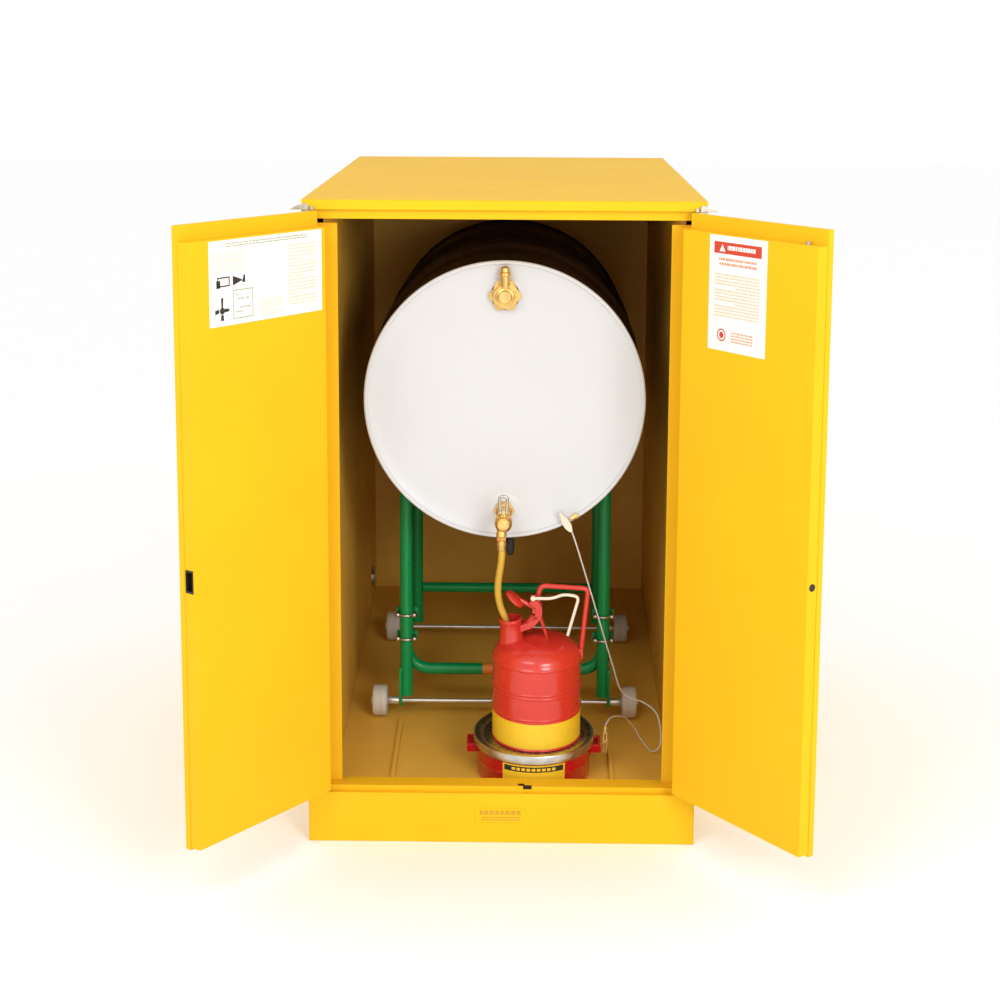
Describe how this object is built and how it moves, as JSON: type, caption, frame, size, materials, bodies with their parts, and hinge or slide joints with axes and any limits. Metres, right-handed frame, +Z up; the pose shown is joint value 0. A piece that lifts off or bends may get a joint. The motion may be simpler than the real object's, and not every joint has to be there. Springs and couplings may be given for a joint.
{
  "type": "horizontal drum safety cabinet",
  "caption": "Double-walled steel safety cabinet with open doors, holding a drum on a wheeled cradle with a faucet, hose, safety can and drain can.",
  "frame": {"origin": "centre of the cabinet's underside, on the ground", "axes": "+X to the right seen from the front, +Y from the doors towards the back, +Z up"},
  "size_m": [1.1778, 1.6053, 1.316],
  "materials": {
    "cabinet_yellow": "semi-gloss powder coat",
    "drum_dark": "semi-gloss",
    "head_white": "satin",
    "cradle_green": "gloss",
    "can_red": "gloss",
    "trigger_rod": "gloss",
    "brass": "cast and machined",
    "bare_steel": "plated, satin",
    "black_hardware": "satin black",
    "hose_braid": "fine braid over a flexible core",
    "wire_jacket": "clear jacket over braid",
    "wheel": "turned, worn"
  },
  "bodies": {
    "cabinet": {"base_pan": "cabinet_yellow", "plinth_front": "cabinet_yellow", "sill": "cabinet_yellow", "side_panel_left": "cabinet_yellow", "side_panel_right": "cabinet_yellow", "liner_left": "cabinet_yellow", "liner_right": "cabinet_yellow", "door_frame_left": "cabinet_yellow", "door_frame_right": "cabinet_yellow", "floor_rail_left": "cabinet_yellow", "floor_rail_right": "cabinet_yellow", "back_panel": "cabinet_yellow", "liner_back": "cabinet_yellow", "liner_ceiling": "cabinet_yellow", "floor_pan": "cabinet_yellow", "header": "cabinet_yellow", "top_panel": "cabinet_yellow", "wall_vent_left": "bare_steel", "wall_vent_right": "bare_steel", "hinge_left_frame": "bare_steel", "hinge_right_frame": "bare_steel", "drain_can": "can_red", "drain_can_rim": "bare_steel", "safety_can": "can_red", "can_handle": "can_red", "hose": "hose_braid", "bonding_wire": "wire_jacket", "wire_clip": "brass"},
    "left_door": {"door_skin_left": "cabinet_yellow", "door_liner_left": "cabinet_yellow", "hinge_left_door": "bare_steel", "strike_cup": "black_hardware"},
    "right_door": {"door_skin_right": "cabinet_yellow", "door_liner_right": "cabinet_yellow", "hinge_right_door": "bare_steel", "handle_plate": "black_hardware"},
    "handle": {"door_handle": "black_hardware"},
    "bolt": {"latch_bolt": "black_hardware"},
    "rod_top": {"latch_rod_top": "bare_steel"},
    "rod_bottom": {"latch_rod_bottom": "bare_steel"},
    "cradle": {"cradle_frame_left": "cradle_green", "cradle_frame_right": "cradle_green", "cradle_brace": "cradle_green", "cradle_cross_tube": "cradle_green", "saddle_front": "cradle_green", "saddle_rear": "cradle_green", "axle_front": "bare_steel", "axle_rear": "bare_steel", "drum_shell": "drum_dark", "drum_head": "head_white", "drum_vent": "brass", "faucet_body": "brass", "ground_clamp": "brass"},
    "lever": {"faucet_lever": "bare_steel"},
    "wheel_fl": {"wheel_front_left": "wheel"},
    "wheel_fr": {"wheel_front_right": "wheel"},
    "wheel_rl": {"wheel_rear_left": "wheel"},
    "wheel_rr": {"wheel_rear_right": "wheel"},
    "lid": {"can_lid": "can_red"},
    "trigger": {"can_trigger": "trigger_rod"}
  },
  "joints": [
    {"name": "left_door_hinge", "type": "hinge", "parent": "cabinet", "child": "left_door", "pos_m": [-0.373, -0.643, 0.7], "axis": [0, 0, 1], "range_deg": [-45, 126]},
    {"name": "right_door_hinge", "type": "hinge", "parent": "cabinet", "child": "right_door", "pos_m": [0.373, -0.643, 0.7], "axis": [0, 0, -1], "range_deg": [-45, 126]},
    {"name": "handle_turn", "type": "hinge", "parent": "right_door", "child": "handle", "pos_m": [0.54867, -0.8899, 0.641], "axis": [-0.809, -0.5878, 0], "range_deg": [0, 90]},
    {"name": "bolt_slide", "type": "slide", "parent": "right_door", "child": "bolt", "axis": [0.5878, -0.809, 0], "range_m": [0, 0.012]},
    {"name": "rod_top_slide", "type": "slide", "parent": "right_door", "child": "rod_top", "axis": [0, 0, 1], "range_m": [0, 0.012]},
    {"name": "rod_bottom_slide", "type": "slide", "parent": "right_door", "child": "rod_bottom", "axis": [0, 0, -1], "range_m": [0, 0.012]},
    {"name": "cradle_roll", "type": "slide", "parent": "cabinet", "child": "cradle", "axis": [0, 0.9965, 0.0837], "range_m": [0, 0.12]},
    {"name": "wheel_fl_spin", "type": "hinge", "parent": "cradle", "child": "wheel_fl", "pos_m": [-0.282, -0.191, 0.13884], "axis": [1, 0, 0], "continuous": true},
    {"name": "wheel_fr_spin", "type": "hinge", "parent": "cradle", "child": "wheel_fr", "pos_m": [0.282, -0.191, 0.13884], "axis": [1, 0, 0], "continuous": true},
    {"name": "wheel_rl_spin", "type": "hinge", "parent": "cradle", "child": "wheel_rl", "pos_m": [-0.282, 0.238, 0.17488], "axis": [1, 0, 0], "continuous": true},
    {"name": "wheel_rr_spin", "type": "hinge", "parent": "cradle", "child": "wheel_rr", "pos_m": [0.282, 0.238, 0.17488], "axis": [1, 0, 0], "continuous": true},
    {"name": "faucet_lever_turn", "type": "hinge", "parent": "cradle", "child": "lever", "pos_m": [0, -0.52, 0.664], "axis": [1, 0, 0], "range_deg": [0, 75]},
    {"name": "trigger_squeeze", "type": "hinge", "parent": "cabinet", "child": "trigger", "pos_m": [0.062, -0.49552, 0.47453], "axis": [0, -0.9965, -0.0837], "range_deg": [0, 8], "stiffness_Nm_per_rad": 2, "springref_deg": -5.73},
    {"name": "lid_lift", "type": "hinge", "parent": "cabinet", "child": "lid", "pos_m": [0.066, -0.48047, 0.44468], "axis": [0, 0.9965, 0.0837], "range_deg": [0, 12]}
  ],
  "couplings": [
    {"joint": "bolt_slide", "follows": "handle_turn", "m_per_rad": 0.0076394},
    {"joint": "rod_top_slide", "follows": "handle_turn", "m_per_rad": 0.0076394},
    {"joint": "rod_bottom_slide", "follows": "handle_turn", "m_per_rad": 0.0076394},
    {"joint": "wheel_fl_spin", "follows": "cradle_roll", "rad_per_m": -28.571},
    {"joint": "wheel_fr_spin", "follows": "cradle_roll", "rad_per_m": -28.571},
    {"joint": "wheel_rl_spin", "follows": "cradle_roll", "rad_per_m": -28.571},
    {"joint": "wheel_rr_spin", "follows": "cradle_roll", "rad_per_m": -28.571},
    {"joint": "lid_lift", "follows": "trigger_squeeze", "ratio": 1.5}
  ]
}
